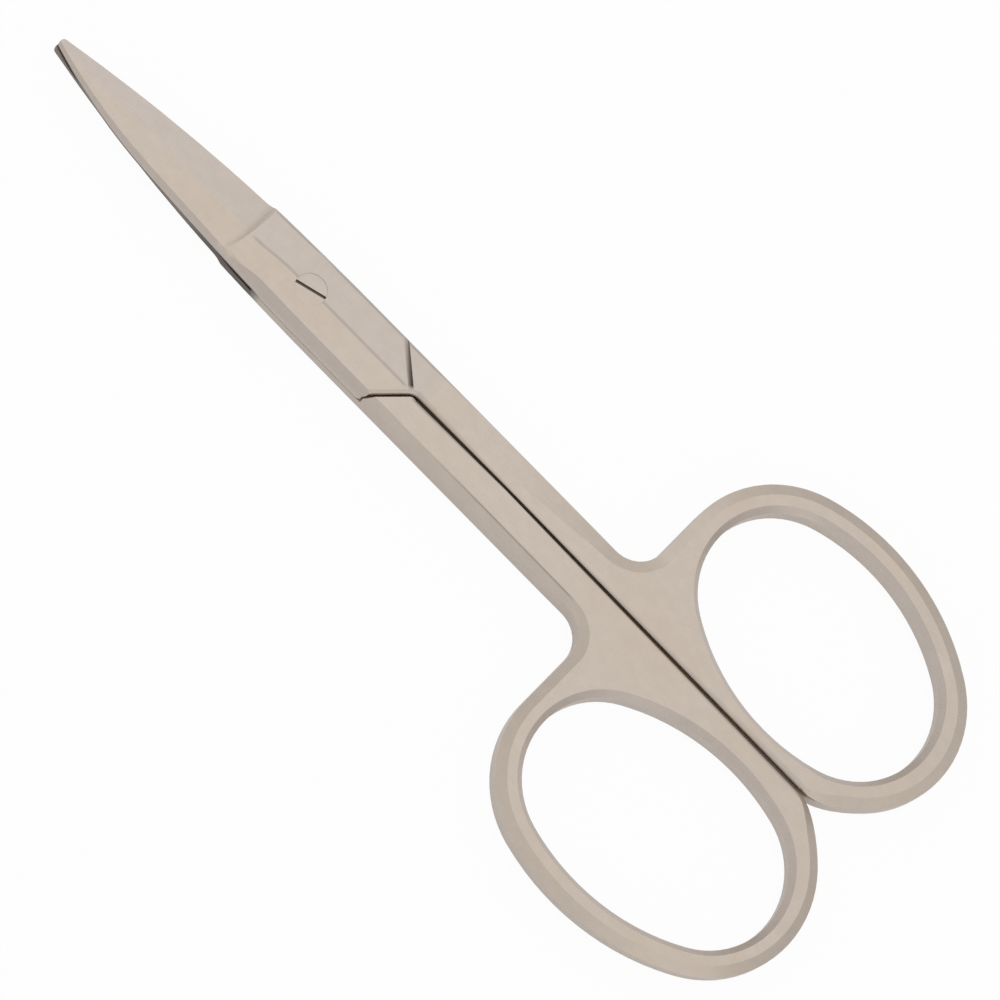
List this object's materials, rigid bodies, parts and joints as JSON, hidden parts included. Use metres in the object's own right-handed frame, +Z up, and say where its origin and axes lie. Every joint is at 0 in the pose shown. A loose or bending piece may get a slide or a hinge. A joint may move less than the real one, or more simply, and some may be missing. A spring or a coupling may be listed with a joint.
{
  "type": "cuticle scissors",
  "caption": "Small straight-bladed cuticle scissors with slim shanks, oval finger rings and a slotted pivot screw, for trimming cuticles and nails.",
  "frame": {"origin": "middle of the closed scissors' box, on the plane that the scissors lie on", "axes": "+X towards the blade tips, +Z up through the screw head's side, +Y towards the lower half's finger ring"},
  "size_m": [0.0888, 0.0414, 0.0028],
  "materials": {
    "satin_steel": "satin-polished stainless steel",
    "screw_steel": "ground flush, fine cross scratches"
  },
  "bodies": {
    "lower_half": {"lower_half": "satin_steel", "pivot_screw": "screw_steel"},
    "upper_half": {"upper_half": "satin_steel"}
  },
  "joints": [
    {"name": "pivot", "type": "hinge", "parent": "lower_half", "child": "upper_half", "pos_m": [0.0171, 0, 0.0014], "axis": [0, 0, 1], "range_deg": [0, 130]}
  ]
}
